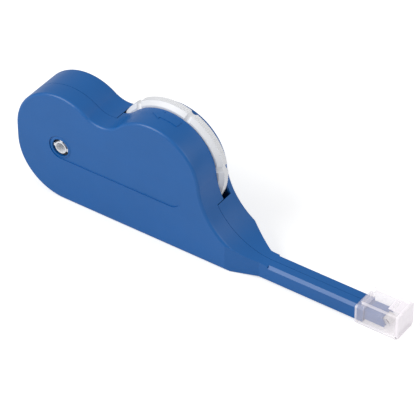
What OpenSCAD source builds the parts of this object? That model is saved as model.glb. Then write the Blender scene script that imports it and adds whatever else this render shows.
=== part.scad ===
// Thumb-wheel tape cleaner for multi-fibre push-on connectors and their adapters.
// X runs along the tool towards the tip, Z is up on the thumb-wheel side, and Y is the thickness.
// x = 0 lies under the thumb-wheel axle, y = 0 at mid thickness, z = 0 on the flat bottom edge.

/* [Casing] */
// Thickness of the casing over its two side faces
body_t = 27.2; // [26.8:0.1:29]
// Depth of the near half, from its side face to the parting line
near_depth = 11; // [10.6:0.1:11.3]
// Wall of both casing halves
wall = 1.5; // [1.3:0.1:1.8]
// Width of the fine groove along the joint between the casing halves
seam_w = 0.2; // [0.1:0.05:0.3]
// Depth of the fine groove along the joint
seam_d = 0.35; // [0.2:0.05:0.5]
// Rounding along the edges of the side faces
edge_r = 1.4; // [0.6:0.1:1.6]
// Radius of the rear hump, which holds the supply reel
rear_r = 30; // [28.5:0.5:33]
// Straight stretch at the back between the lower and the upper arc
rear_flat = 8.3; // [6:0.1:11]
// Distance from the thumb-wheel axle back to the rear hump's centre
rear_x = 58.8; // [57:0.1:62]
// Height of the thumb-wheel axle above the bottom edge
axle_z = 43.6; // [42.5:0.1:46]
// Radius of the hump round the thumb wheel
hump_r = 30.1; // [29:0.1:31]
// Radius of the valley between the two humps
valley_r = 15.7; // [13:0.1:18]
// Radius of the sweep from the wheel hump down to the neck
sweep_r = 39.9; // [38:0.1:42]
// Where the sides begin to draw in towards the neck
taper_x = 46.3; // [44:0.1:50]
// Gap at the fine joint between the casing halves beside the wheel slot
seam_gap = 0.12; // [0.05:0.01:0.2]

/* [Neck and nozzle] */
// Where the straight neck begins
neck_x = 64.4; // [62:0.1:68]
// Front end of the neck
neck_end = 128; // [118:0.5:140]
// Width of the neck
neck_w = 11.7; // [11.2:0.1:12.6]
// Height of the neck
neck_h = 9; // [8.8:0.1:9.6]
// Height of the neck's underside above the bottom edge
neck_lift = 1; // [0.9:0.05:1.3]
// Bevel along the neck's two top edges
neck_bevel = 1.5; // [0.6:0.1:1.7]
// Width of the nozzle
nozzle_w = 9.6; // [9.2:0.1:10]
// Height of the nozzle
nozzle_h = 5.8; // [5.6:0.1:6]
// Length of the nozzle ahead of the neck
nozzle_l = 12; // [9:0.5:12.5]
// Wall of the nozzle
nozzle_wall = 1; // [0.8:0.05:1.1]
// Length of the nozzle's spigot inside the neck
spigot_l = 8; // [6:0.5:10]

/* [Side face] */
// Depth of the plain sunk panel on the near side face
panel_d = 0.5; // [0.2:0.05:0.6]
// Half height of the plain panel, also the radius of its round ends
panel_r = 7.4; // [7:0.05:9.5]
// Where the panel's front round end is centred
panel_x = 11.8; // [4:0.1:16]
// Radius of the sloped collar round the reel's hub, at its foot on the panel
collar_r = 6.8; // [6.5:0.05:7]
// Radius of the collar at its top, level with the side face
collar_top_r = 5.8; // [5.5:0.05:6.1]
// Radius of the hole that shows the reel's hub
hub_hole_r = 5.3; // [5:0.05:5.4]
// Length of the raised arrow on the near lip
arrow_l = 16.6; // [14:0.1:18]
// Width over the arrow's barbs
arrow_w = 7; // [5.5:0.1:7.6]
// Width of the arrow's shaft
arrow_shaft_w = 4.3; // [3:0.1:4.8]
// Height of the arrow over the lip
arrow_h = 0.35; // [0.2:0.05:0.5]

/* [Thumb wheel] */
// How far the thumb wheel stands out of its hump
wheel_out = 3.3; // [3.1:0.1:3.9]
// Width of the thumb wheel's rim
wheel_w = 5.6; // [5.2:0.1:6]
// Reach of the near lip past the parting line, beside the wheel
lip_reach = 5.65; // [5.4:0.05:5.8]
// Gap round the lip's outline, where it lies in the far half
lip_gap = 0.3; // [0.1:0.05:0.4]
// Side gap between the wheel and each lip
wheel_gap = 0.4; // [0.3:0.05:0.5]
// Gap between the wheel's rim and the rear end of its slot
slot_gap = 0.5; // [0.4:0.05:1.2]
// Extra gap at the front end of the slot
slot_front = 3; // [1:0.1:3.4]
// Radial depth of the smooth shoulder on the near side of the rim
shoulder_d = 2.3; // [1.5:0.1:2.6]
// Width of the smooth shoulder on the near side of the rim
shoulder_w = 2; // [1.5:0.1:2.4]
// Radial depth of the ridged rim down to the web
rim_d = 5; // [4.8:0.1:6]
// Thickness of the wheel's web
web_t = 1.8; // [1.4:0.1:2.2]
// Number of fine ridges round the rim
ridge_count = 180; // [120:12:216]
// Height of the fine ridges
ridge_h = 0.25; // [0.2:0.05:0.5]
// Number of broad notches across the rim
notch_count = 6; // [4:1:8]
// Width of each notch
notch_w = 3.8; // [2.8:0.1:4.4]
// Depth of each notch
notch_d = 1.6; // [0.8:0.1:1.8]

/* [Reels and tape] */
// Height of the supply reel's axis over the centre of the rear hump's lower arc
supply_rise = 4.6; // [4:0.1:7]
// Distance of the supply reel's axis behind the rear hump's centre
supply_back = 0.6; // [0:0.1:1]
// Width of the cleaning tape
tape_w = 6; // [5:0.1:6.2]
// Thickness of the cleaning tape, as one layer
tape_t = 0.2; // [0.15:0.01:0.25]
// Room between the supply reel's flanges and the wall of the rear hump
supply_room = 3.5; // [2.5:0.1:4]
// Room between the take-up reel's flanges and the wall of the wheel's hump
takeup_room = 3.1; // [2.5:0.1:5]
// How far the clean tape stays inside the supply reel's flanges
supply_roll_in = 3; // [1:0.5:9]
// How far the used tape stays inside the take-up reel's flanges
takeup_roll_in = 8.5; // [5.5:0.5:12]
// Thickness of the reel flanges
flange_t = 0.9; // [0.7:0.05:1]
// Radius of the supply reel's barrel
supply_barrel_r = 9; // [8.5:0.1:10]
// Radius of the take-up reel's barrel
takeup_barrel_r = 11; // [9:0.1:12]
// Bore of the supply reel's hub, open on the near side
hub_bore_r = 2.9; // [2.2:0.05:3]
// Outer radius of the supply reel's hub nose
hub_nose_r = 3.6; // [3.4:0.05:3.8]
// Radius over the lugs on the hub nose
hub_lug_r = 4.6; // [4.3:0.05:4.6]
// Width of each lug on the hub nose
hub_lug_w = 1.7; // [1.4:0.1:2.4]
// How far the lugs end below the nose's face
hub_lug_low = 0.25; // [0.1:0.05:0.5]
// Radius of the hollow spindle that carries the supply reel
spindle_r = 6; // [5.6:0.1:6.4]
// Radius of the two guide rollers
roller_r = 3; // [2.6:0.1:3.2]
// Distance from the thumb-wheel axle to the feed guide roller
feed_roller_x = 24; // [20:0.5:26]
// Distance from the foot of the sweep back to the return guide roller
return_roller_back = 28.7; // [27:0.1:30]

/* [Drive] */
// Teeth on the drive gear beside the take-up reel
drive_teeth = 36; // [36:1:36]
// Teeth on the idler gear
idler_teeth = 20; // [20:1:20]
// Teeth on the supply reel's clutch gear
supply_teeth = 44; // [44:1:44]
// Width of the gears
gear_w = 2.2; // [1.8:0.1:2.4]
// Pressure angle of the gear teeth
pressure_angle = 20; // [20:1:20]
// Side clearance of each gear tooth at the pitch circle, in degrees of arc on the gear of twenty teeth
backlash = 0.5; // [0.3:0.05:0.8]
// Radius of the thumb wheel's steel axle
axle_r = 2; // [1.8:0.05:2.2]
// Radius of the steel pins in the idler gear and the rollers
pin_r = 1.5; // [1.3:0.05:1.6]
// Radial running clearance of wheels, gears and rollers on their pins
running = 0.06; // [0.04:0.01:0.09]
// Radial clearance of pins seated in the casing and of pieces keyed together
seat = 0.03; // [0.02:0.01:0.05]
// Radius over the ratchet's teeth
ratchet_r = 12; // [11.5:0.1:12.5]
// Height of the ratchet's teeth
ratchet_h = 1.2; // [1:0.05:1.4]
// Number of ratchet teeth
ratchet_teeth = 24; // [24:12:24]
// Thickness of the ratchet ring
ratchet_t = 1.2; // [1:0.05:1.2]
// Distance from the thumb-wheel axle to the pawl's pivot
pawl_reach = 17; // [16.5:0.1:18]
// Radius of the pawl's pivot pin
pawl_pin_r = 1; // [0.8:0.05:1.1]

/* [Sprung tip] */
// How far the tip slides back when it meets a ferrule
tip_travel = 3; // [2:0.1:3.5]
// How far the tip stands out of the nozzle
tip_out = 2.8; // [2:0.1:3.4]
// Length of the tip slider behind its head
slider_l = 54; // [50:0.5:57]
// Width of the tip slider
slider_w = 7; // [6.6:0.1:7.2]
// Thickness of the tip slider
slider_t = 2.6; // [2.4:0.05:2.8]
// Length of the tip head ahead of the slider
head_l = 6; // [5:0.1:7]
// Thickness of the soft pad in the tip head
pad_t = 1; // [0.8:0.05:1.2]
// Length of the tip spring
spring_l = 11; // [10:0.5:12]
// Outer radius of the tip spring
spring_r = 1.3; // [1.2:0.05:1.35]
// Wire radius of the tip spring
spring_wire_r = 0.2; // [0.15:0.01:0.22]
// Turns of the tip spring
spring_turns = 9; // [7:1:10]

/* [Cap] */
// Where the cap's open end lies
cap_x = 124.3; // [116:0.1:136]
// Length of the slim sleeve at the cap's open end
cap_sleeve_l = 2.9; // [2.4:0.1:5]
// Length of the cap without its lid
cap_l = 24; // [22:0.5:28]
// Width of the cap
cap_w = 15.4; // [14.8:0.1:16]
// Height of the cap's box
cap_h = 15.4; // [13.8:0.1:16]
// Height of the cap's sleeve
cap_sleeve_h = 11.3; // [11.2:0.1:11.8]
// Wall of the cap
cap_wall = 1.2; // [0.9:0.05:1.3]
// Rounding of the cap's outer edges
cap_edge_r = 1; // [0.8:0.1:1.8]
// Rounding of the two upright corners where the cap's box rises behind the sleeve
cap_corner_r = 2; // [1:0.1:2.2]
// Gap between the neck and the cap's sleeve
cap_gap = 0.15; // [0.1:0.01:0.2]
// Thickness of the cap's lid
lid_t = 1.4; // [1.2:0.05:1.6]
// Width of the lid's latch frame
latch_w = 8.4; // [6:0.1:9]
// Length of the lid's latch frame along the cap
latch_l = 6.4; // [5.5:0.1:8]
// Thickness of the latch frame
latch_t = 0.6; // [0.5:0.05:0.8]
// Width of the bars round the latch frame's window
latch_bar = 1.2; // [1:0.1:1.4]
// Length of the latch frame's window along the cap
latch_window = 2.2; // [2.1:0.1:2.6]
// Radius of the cap lid's hinge pin
lid_pin_r = 0.6; // [0.5:0.05:0.65]

/* [Hidden] */
$fn = 96;

// One overrun for every cut
over = 1;
small_fn = 32;

// Places across the thickness
near_y = -body_t / 2;
far_y = body_t / 2;
part_y = near_y + near_depth;
lip_y = part_y + lip_reach;
wheel_y0 = lip_y + wheel_gap;
wheel_y1 = wheel_y0 + wheel_w;
slot_y1 = wheel_y1 + wheel_gap;
near_in_y = near_y + wall;
far_in_y = far_y - wall;
wheel_r = hump_r + wheel_out;
slot_r = wheel_r + slot_gap;

// Centres of the outline's arcs, as [x, z]
neck_top = neck_lift + neck_h;
rear_low = [-rear_x, rear_r];
rear_top = [-rear_x, rear_r + rear_flat];
axle = [0, axle_z];
valley = meet(rear_top, rear_r + valley_r, axle, hump_r + valley_r);
sweep_z = neck_top + sweep_r;
sweep = [sqrt(pow(hump_r + sweep_r, 2) - pow(sweep_z - axle_z, 2)), sweep_z];
// The hollow arcs bite this deep past the humps that they run into
crease = 0.02;

// Reel layout along Y: the tape is centred on the parting plane
tape_y0 = part_y - tape_w / 2;
tape_y1 = part_y + tape_w / 2;
reel_gap = 0.3;
reel_y0 = tape_y0 - reel_gap;
reel_y1 = tape_y1 + reel_gap;
flange_y0 = reel_y0 - flange_t;
nose_share = 0.6;
felt_t = 0.5;
gear_y1 = flange_y0 - felt_t;
gear_y0 = gear_y1 - gear_w;
nose_y = near_y + panel_d * nose_share;
supply = [-rear_x - supply_back, rear_r + supply_rise];
supply_flange_r = rear_r - wall - supply_room;
takeup_flange_r = hump_r - wall - takeup_room;
supply_roll_r = supply_flange_r - supply_roll_in;
takeup_roll_r = takeup_flange_r - takeup_roll_in;

// Gear sizes follow the distance between the two reels
reel_span = norm(supply - axle);
gear_m = reel_span / (drive_teeth / 2 + idler_teeth + supply_teeth / 2);
span_angle = atan2(supply[1] - axle[1], supply[0] - axle[0]);
idler = axle + polar(gear_m * (drive_teeth + idler_teeth) / 2, span_angle);

// Neck core and tape paths
core_z = neck_lift + neck_h / 2;
tape_clear = 0.12;
lane = slider_t / 2 + tape_clear + tape_t / 2;
lane_low = core_z - lane;
lane_top = core_z + lane;
roll_clear = 0.25;
wrap = roller_r + tape_clear + tape_t / 2;
feed_roller_at = [feed_roller_x, lane_low + wrap];
return_roller_at = [sweep[0] - return_roller_back, lane_top + wrap];
head_x1 = neck_end + nozzle_l + tip_out;
slider_x1 = head_x1 - head_l;
slider_x0 = slider_x1 - slider_l;
tape_end_x = slider_x0 - tip_travel - tape_clear;
spring_x0 = slider_x0 - spring_l;
rib_t = 1.6;

// Cap places
cap_z1 = cap_h;
cap_x1 = cap_x + cap_l;
box_x0 = cap_x + cap_sleeve_l;
lid_gap = 0.1;
lid_x0 = cap_x1 + lid_gap;
lid_x1 = lid_x0 + lid_t;
knuckle_wall = 0.55;
knuckle_r = lid_pin_r + knuckle_wall;
hinge_at = [lid_x1 - knuckle_r, knuckle_r];

// The upper meeting point of two circles in the side view
function meet(a, ra, b, rb) =
    let (d = norm(b - a), e = (b - a) / d, along = (ra * ra - rb * rb + d * d) / (2 * d),
        up = sqrt(ra * ra - along * along))
    a + e * along + [-e[1], e[0]] * up;
function polar(r, a) = [r * cos(a), r * sin(a)];
function heading(a, b) = atan2(b[1] - a[1], b[0] - a[0]);

// Draws a side-view shape and gives it thickness from ya to yb
module slab(ya, yb) translate([0, yb, 0]) rotate([90, 0, 0]) linear_extrude(yb - ya) children();
// A rod along Y, round the side-view point p
module rod(p, r, ya, yb) translate([p[0], yb, p[1]]) rotate([90, 0, 0]) cylinder(r = r, h = yb - ya);
module tube(p, r, bore, ya, yb) difference() {
    rod(p, r, ya, yb);
    rod(p, bore, ya - over, yb + over);
}
// A box from its lower to its upper corner
module block(a, b) translate(a) cube(b - a);

// Side-view outline of the casing, drawn in by d
module outline(d, end_x) {
    translate(rear_top) circle(rear_r - d);
    translate(rear_low) circle(rear_r - d);
    translate([-rear_x - rear_r + d, rear_r]) square([rear_r, rear_flat]);
    translate(axle) circle(hump_r - d);
    difference() {
        polygon([[-rear_x, d], [taper_x, d], [neck_x, neck_lift + d], [end_x, neck_lift + d],
            [end_x, neck_top - d], [sweep[0], neck_top - d], sweep, axle, valley, rear_top]);
        translate(valley) circle(valley_r + crease + d);
        translate(sweep) circle(sweep_r + crease + d);
    }
}

// Plan-view outline: full thickness, then drawn in to the neck
module plan(d, end_x) polygon([
    [-rear_x - rear_r - over, near_y + d], [taper_x, near_y + d], [neck_x, part_y - neck_w / 2 + d],
    [end_x, part_y - neck_w / 2 + d], [end_x, part_y + neck_w / 2 - d],
    [neck_x, part_y + neck_w / 2 - d], [taper_x, far_y - d], [-rear_x - rear_r - over, far_y - d]]);

module casing_block(d, end_x) intersection() {
    slab(near_y, far_y) outline(d, end_x);
    linear_extrude(axle_z + hump_r + over) plan(d, end_x);
}

// Cutters that round the edge between a side face and the outline; local +Z points out of the face.
// The arc meets both faces at a slight angle, and neighbouring cutters run past each other.
edge_share = 0.2;
run_on = 3;
edge_deep = edge_r * (1 + edge_share);
edge_arc_r = norm([edge_r * edge_share, edge_deep]);
module edge_out(r) translate([r - edge_deep, -edge_deep]) difference() {
    square(edge_deep + over);
    circle(edge_arc_r, $fn = small_fn);
}
module edge_in(r) translate([r + edge_deep, -edge_deep]) difference() {
    translate([-edge_deep - over, 0]) square(edge_deep + over);
    circle(edge_arc_r, $fn = small_fn);
}
module arc_out(c, r, from, to) translate(c) rotate([0, 0, from]) rotate_extrude(angle = to - from)
    edge_out(r);
module arc_in(c, r, from, to) translate(c) rotate([0, 0, from]) rotate_extrude(angle = to - from)
    edge_in(r);
up_rear = heading(rear_top, valley);
up_hump = heading(axle, valley);
down_hump = heading(axle, sweep);
module edge_cutters() {
    translate(rear_top) mirror([1, 0, 0]) rotate_extrude(angle = 180 - up_rear + run_on)
        edge_out(rear_r);
    arc_out(rear_low, rear_r, 180, 270);
    arc_out(axle, hump_r, down_hump - run_on, up_hump + run_on);
    arc_in(valley, valley_r + crease, up_rear + 180 - run_on, up_hump + 180 + run_on);
    arc_in(sweep, sweep_r + crease, down_hump + 180 - run_on,
        180 + acos((sweep[0] - neck_x) / sweep_r));
    translate([-rear_x, rear_top[1]]) rotate([-90, 0, 180]) linear_extrude(rear_flat) mirror([0, 1])
        edge_out(rear_r);
    translate([-rear_x, 0, 0]) rotate([90, 0, 90]) linear_extrude(neck_x + rear_x)
        mirror([1, 0]) edge_out(0);
}
module on_sides() {
    translate([0, near_y, 0]) rotate([90, 0, 0]) children();
    translate([0, far_y, 0]) rotate([90, 0, 0]) mirror([0, 0, 1]) children();
}

// Bevels along the neck's two top edges
far_bevel_share = 0.6;
module neck_bevel_cut(s, side) translate([sweep[0], part_y + s * neck_w / 2, neck_top])
    rotate([45, 0, 0]) translate([0, -side / 2, -side / 2])
        cube([neck_end - sweep[0] + over, side, side]);
module neck_bevels() {
    neck_bevel_cut(-1, neck_bevel * sqrt(2));
    neck_bevel_cut(1, neck_bevel * sqrt(2) * far_bevel_share);
}

module casing() difference() {
    casing_block(0, neck_end);
    on_sides() edge_cutters();
    casing_block(wall, neck_end + over);
    neck_bevels();
}

// Side view of the room for the thumb wheel, drawn in by d
slot_front_angle = -21;
module slot_area(d) translate(axle) {
    circle(slot_r - d);
    translate(polar(slot_front, slot_front_angle)) circle(slot_r - d);
}

// Fine groove in the far half's outer edge, along the joint
module seam_groove() slab(part_y - over, part_y + seam_w) difference() {
    translate([-rear_x - rear_r - over, -over])
        square([rear_x + rear_r + neck_end + over * 2, axle_z + hump_r + over * 2]);
    outline(seam_d, neck_end + over);
}

// The near half takes the lip beside the thumb wheel
module near_region() {
    block([-rear_x - rear_r - over, near_y - over, -over],
        [neck_end + over, part_y, axle_z + hump_r + over]);
    slab(part_y - over, lip_y) slot_area(lip_gap);
}

// Boss on a casing half's inner face with a blind seat for a pin
boss_wall = 1.5;
seat_d = 0.9;
module near_boss(p, r, to) rod(p, r + boss_wall, near_in_y - wall / 2, to);
module near_seat(p, r, to) rod(p, r + seat, near_in_y - seat_d, to + over);
module far_boss(p, r, from) rod(p, r + boss_wall, from, far_in_y + wall / 2);
module far_seat(p, r, from) rod(p, r + seat, from - over, far_in_y + seat_d);
gear_boss_y = gear_y0 - reel_gap;
roller_boss_y0 = reel_y0 - reel_gap;
roller_boss_y1 = reel_y1 + reel_gap;

// Locating pegs of the near half and their sockets in the far half
peg_r = 1.4;
peg_reach = 4;
peg_wall = 1.3;
peg_inset = 4.6;
valley_peg_share = 1.45;
sweep_peg_share = 1.25;
pegs = [rear_low + polar(rear_r - peg_inset, 245), rear_top + polar(rear_r - peg_inset, 100),
    valley + polar(valley_r + peg_inset * valley_peg_share, 256),
    sweep + polar(sweep_r + peg_inset * sweep_peg_share, 226),
    (supply + axle) / 2 - [0, axle_z / 2]];

// Raised arrow that points back along the lip
arrow_ahead = 1.6;
arrow_shift = 3.7;
arrow_y = (near_y + lip_y) / 2 + arrow_shift;
arrow_head_share = 0.35;
module arrow_shape() {
    neck = arrow_l * (arrow_head_share - 0.5);
    polygon([[-arrow_l / 2, 0], [neck, arrow_w / 2], [neck, arrow_shaft_w / 2],
        [arrow_l / 2, arrow_shaft_w / 2], [arrow_l / 2, -arrow_shaft_w / 2],
        [neck, -arrow_shaft_w / 2], [neck, -arrow_w / 2]]);
}
module arrow() intersection() {
    translate([arrow_ahead, arrow_y, axle_z]) linear_extrude(hump_r + over) arrow_shape();
    tube(axle, hump_r + arrow_h, hump_r - wall / 2, near_y, lip_y);
}

module panel() {
    for (x = [supply[0], panel_x]) translate([x, supply[1]]) circle(panel_r);
    translate([supply[0], supply[1] - panel_r]) square([panel_x - supply[0], panel_r * 2]);
}

// Sloped collar that rises from inside the panel's floor to the level of the side face
module collar() rotate_extrude() polygon([[0, 0], [collar_r, 0], [collar_r, panel_d],
    [collar_top_r, panel_d * 2], [0, panel_d * 2]]);

spring_rib_x = spring_x0 - rib_t;
module near_shell() color("royalblue") difference() {
    union() {
        difference() {
            intersection() {
                casing();
                near_region();
            }
            slab(near_y - over, near_y + panel_d) panel();
        }
        translate([supply[0], near_y + panel_d * 2, supply[1]]) rotate([90, 0, 0]) collar();
        arrow();
        near_boss(axle, axle_r, gear_boss_y);
        near_boss(idler, pin_r, gear_boss_y);
        near_boss(feed_roller_at, pin_r, roller_boss_y0);
        near_boss(return_roller_at, pin_r, roller_boss_y0);
        for (p = pegs) {
            rod(p, peg_r + peg_wall, near_in_y - wall / 2, part_y);
            rod(p, peg_r, part_y - over, part_y + peg_reach);
        }
        // Seat for the tip spring, between the two lanes of tape
        block([spring_rib_x, part_y - neck_w / 2 + wall / 2, core_z - slider_t / 2],
            [spring_x0, part_y + neck_w / 4, core_z + slider_t / 2]);
    }
    near_seat(axle, axle_r, gear_boss_y);
    near_seat(idler, pin_r, gear_boss_y);
    near_seat(feed_roller_at, pin_r, roller_boss_y0);
    near_seat(return_roller_at, pin_r, roller_boss_y0);
    rod(supply, hub_hole_r, near_y - over, near_in_y + over);
}

module far_shell() color("royalblue") difference() {
    union() {
        difference() {
            casing();
            near_region();
            slab(part_y - over, slot_y1) slot_area(0);
            seam_groove();
        }
        rod(supply, spindle_r, reel_y0 + flange_t, far_in_y + wall / 2);
        rod(supply, spindle_r + wall, reel_y1 + flange_t + wheel_gap, far_in_y + wall / 2);
        far_boss(axle, axle_r, far_in_y - seam_gap);
        far_boss(feed_roller_at, pin_r, roller_boss_y1);
        far_boss(return_roller_at, pin_r, roller_boss_y1);
        far_boss(pawl_at, pawl_pin_r, far_in_y - seam_gap);
        for (p = pegs) rod(p, peg_r + peg_wall, part_y, far_in_y + wall / 2);
    }
    rod(supply, spindle_r - wall, reel_y0 - over, far_in_y - seam_gap);
    far_seat(axle, axle_r, far_in_y - seam_gap);
    far_seat(feed_roller_at, pin_r, roller_boss_y1);
    far_seat(return_roller_at, pin_r, roller_boss_y1);
    far_seat(pawl_at, pawl_pin_r, far_in_y - seam_gap);
    for (p = pegs) rod(p, peg_r + running, part_y - over, part_y + peg_reach + wall);
}

// Nozzle: a spigot pressed into the neck, then the slim tube that enters the adapter
mouth_share = 1 / 3;
mouth_angle = 60;
module nozzle() color("royalblue") difference() {
    union() {
        block([neck_end - spigot_l, part_y - neck_w / 2 + wall + seat, neck_lift + wall + seat],
            [neck_end, part_y + neck_w / 2 - wall - seat, neck_top - wall - seat]);
        block([neck_end, part_y - nozzle_w / 2, core_z - nozzle_h / 2],
            [neck_end + nozzle_l, part_y + nozzle_w / 2, core_z + nozzle_h / 2]);
    }
    block([neck_end - spigot_l - over, part_y - nozzle_w / 2 + nozzle_wall,
        core_z - nozzle_h / 2 + nozzle_wall],
        [neck_end + nozzle_l + over, part_y + nozzle_w / 2 - nozzle_wall,
        core_z + nozzle_h / 2 - nozzle_wall]);
    // The mouth is cut back on the slant, so that the underside reaches further
    translate([neck_end + nozzle_l - nozzle_h * mouth_share, part_y - nozzle_w,
        core_z + nozzle_h / 2]) rotate([0, mouth_angle, 0]) cube([nozzle_h * 2, nozzle_w * 2, nozzle_h]);
}

// Steel pins
pin_head_share = 1.45;
pin_head_r = pin_r * pin_head_share;
axle_end = seat_d - seat;
module wheel_axle() color("silver") rod(axle, axle_r, near_in_y - axle_end, far_in_y + axle_end);
module idler_pin() color("silver") {
    rod(idler, pin_r, near_in_y - axle_end, gear_y1 + felt_t / 2);
    rod(idler, pin_head_r, gear_y1 + seam_gap, gear_y1 + felt_t - seam_gap);
}
module roller_pins() color("silver") for (p = [feed_roller_at, return_roller_at])
    rod(p, pin_r, near_in_y - axle_end, far_in_y + axle_end);
module pawl_pin() color("silver") rod(pawl_at, pawl_pin_r,
    ratchet_y0 + seam_gap, far_in_y + axle_end);

// Thumb wheel: ridged rim with a smooth near shoulder, web, hub and the sleeve that carries the reel
wheel_hub_r = 6;
sleeve_r = 5;
ratchet_y0 = wheel_y1 + seam_gap;
hub_y1 = ratchet_y0 + ratchet_t;
notch_angle = 8.5;
// Where a ridge's top starts and ends, and its valley starts and ends, in steps
ridge_shares = [-0.3, 0.05, 0.2, 0.55];
module ridged_disc() polygon([for (i = [0 : ridge_count - 1], j = [0 : 3])
    polar(wheel_r - (j < 2 ? 0 : ridge_h), (i + ridge_shares[j]) * 360 / ridge_count)]);
// A notch is a round scoop that keeps its depth down the smooth shoulder
notch_r = (notch_w * notch_w / 4 + notch_d * notch_d) / (2 * notch_d);
module notch_cutter() translate([wheel_r - notch_d + notch_r, shoulder_w, 0]) {
    rotate([-90, 0, 0]) cylinder(r = notch_r, h = wheel_w, $fn = small_fn);
    rotate([90, 0, -atan2(shoulder_d, shoulder_w)])
        cylinder(r = notch_r, h = shoulder_d + shoulder_w + over, $fn = small_fn);
}
module thumb_wheel() color("white") difference() {
    union() {
        difference() {
            union() {
                slab(wheel_y0 + shoulder_w, wheel_y1) translate(axle) ridged_disc();
                translate([0, wheel_y0 + shoulder_w, axle_z]) rotate([90, 0, 0])
                    rotate_extrude() polygon([[0, -over / 2], [wheel_r - ridge_h, -over / 2],
                        [wheel_r - ridge_h, 0], [wheel_r - shoulder_d, shoulder_w],
                        [0, shoulder_w]]);
            }
            tube(axle, wheel_r - rim_d, wheel_hub_r, wheel_y0 - over, wheel_y1 - web_t);
            for (i = [0 : notch_count - 1])
                translate([0, wheel_y0, axle_z]) rotate([0, -360 / notch_count * i - notch_angle, 0])
                    notch_cutter();
        }
        rod(axle, sleeve_r, gear_y0, wheel_y1 - web_t);
        rod(axle, wheel_hub_r, reel_y1 + flange_t, wheel_y1 - web_t);
        rod(axle, sleeve_r, wheel_y1 - web_t, hub_y1);
    }
    rod(axle, axle_r + running, gear_y0 - over, hub_y1 + over);
}
module takeup_reel() color("whitesmoke") {
    tube(axle, takeup_barrel_r, sleeve_r + seat, reel_y0, reel_y1);
    tube(axle, takeup_flange_r, sleeve_r + seat, reel_y1, reel_y1 + flange_t);
}
module takeup_flange() color("whitesmoke")
    tube(axle, takeup_flange_r, sleeve_r + seat, flange_y0, reel_y0);
module takeup_roll() color("gainsboro")
    tube(axle, takeup_roll_r, takeup_barrel_r + seat, tape_y0, tape_y1);

// Involute gears
root_share = 1.25;
function involute(a) = tan(a) * 180 / PI - a;
function half_tooth(z, r) =
    let (base = gear_m * z / 2 * cos(pressure_angle))
    90 / z - backlash * idler_teeth / z + involute(pressure_angle) - involute(acos(min(1, base / r)));
module gear(z, turn) {
    tip = gear_m * (z / 2 + 1);
    root = gear_m * (z / 2 - root_share);
    start = max(root, gear_m * z / 2 * cos(pressure_angle));
    radii = [for (i = [0 : 5]) start + (tip - start) * i / 5];
    rotate(turn) polygon([for (k = [0 : z - 1]) let (a = 360 / z * k) each concat(
        [polar(root, a - half_tooth(z, start))],
        [for (r = radii) polar(r, a - half_tooth(z, r))],
        [for (i = [5 : -1 : 0]) polar(radii[i], a + half_tooth(z, radii[i]))],
        [polar(root, a + half_tooth(z, start))])]);
}
module drive_gear() color("gainsboro") difference() {
    slab(gear_y0, gear_y1) translate(axle) gear(drive_teeth, span_angle);
    rod(axle, sleeve_r + seat, gear_y0 - over, gear_y1 + over);
}
module idler_gear() color("gainsboro") difference() {
    slab(gear_y0, gear_y1) translate(idler) gear(idler_teeth, span_angle + 180 + 180 / idler_teeth);
    rod(idler, pin_r + running, gear_y0 - over, gear_y1 + over);
}
module supply_gear() color("dimgray") difference() {
    slab(gear_y0, gear_y1) translate(supply) gear(supply_teeth, span_angle + 180);
    rod(supply, hub_nose_r + seat, gear_y0 - over, gear_y1 + over);
}

// One-way ratchet on the wheel's far side and the pawl that drops into it
ratchet_turn = 1;
ratchet_step = 360 / ratchet_teeth;
pawl_at = axle + polar(pawl_reach, 140);
module ratchet_ring() color("gainsboro") difference() {
    slab(ratchet_y0, hub_y1) translate(axle) rotate(180 + ratchet_turn) polygon([
        for (k = [0 : ratchet_teeth - 1]) each [polar(ratchet_r, ratchet_step * k),
            for (i = [1 : 3]) polar(ratchet_r - ratchet_h * i / 3, ratchet_step * (k + i / 3))]]);
    rod(axle, sleeve_r + seat, ratchet_y0 - over, hub_y1 + over);
}
pawl_nib = 0.3;
pawl_w = 1.4;
pawl_eye_wall = 1.1;
pawl_eye_r = pawl_pin_r + pawl_eye_wall;
pawl_belly_share = 2.5;
pawl_front_share = 0.7;
pawl_back_share = 0.9;
// The pawl is shown riding on a tooth, this many degrees above the bottom of its gap
pawl_ride = 6;
module pawl() color("orange") difference() {
    slab(ratchet_y0 + pawl_nib / 2, hub_y1 - pawl_nib / 2) translate(pawl_at) {
        circle(pawl_eye_r);
        rotate(-pawl_ride) translate(axle - pawl_at) polygon([
            polar(ratchet_r - ratchet_h + pawl_nib, 180.4),
            polar(ratchet_r + pawl_nib * pawl_belly_share, 161.7),
            pawl_at - axle + [pawl_eye_r * pawl_front_share, 0],
            pawl_at - axle - [pawl_eye_r * pawl_back_share, 0],
            polar(ratchet_r + pawl_nib + pawl_w, 168), polar(ratchet_r + pawl_nib, 180.4)]);
    }
    rod(pawl_at, pawl_pin_r + running, ratchet_y0 - over, hub_y1 + over);
}

// Supply reel: barrel on the hollow spindle, and the nose that carries the clutch gear to the near side
lug_angle = -6;
module supply_reel() color("white") difference() {
    union() {
        rod(supply, supply_barrel_r, reel_y0, reel_y1);
        rod(supply, supply_flange_r, reel_y1, reel_y1 + flange_t);
        rod(supply, hub_nose_r, nose_y, reel_y0);
        for (i = [0 : 2]) translate([supply[0], 0, supply[1]]) rotate([0, -90 * i - lug_angle, 0])
            block([0, nose_y + hub_lug_low, -hub_lug_w / 2], [hub_lug_r, gear_y0 - seat, hub_lug_w / 2]);
    }
    rod(supply, spindle_r + running, reel_y0 + flange_t - running, reel_y1 + flange_t + over);
    rod(supply, hub_bore_r, nose_y - over, reel_y0);
}
module supply_flange() color("whitesmoke")
    tube(supply, supply_flange_r, hub_nose_r + seat, flange_y0, reel_y0);
module supply_roll() color("ghostwhite")
    tube(supply, supply_roll_r, supply_barrel_r + seat, tape_y0, tape_y1);
felt_share = 0.7;
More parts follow.
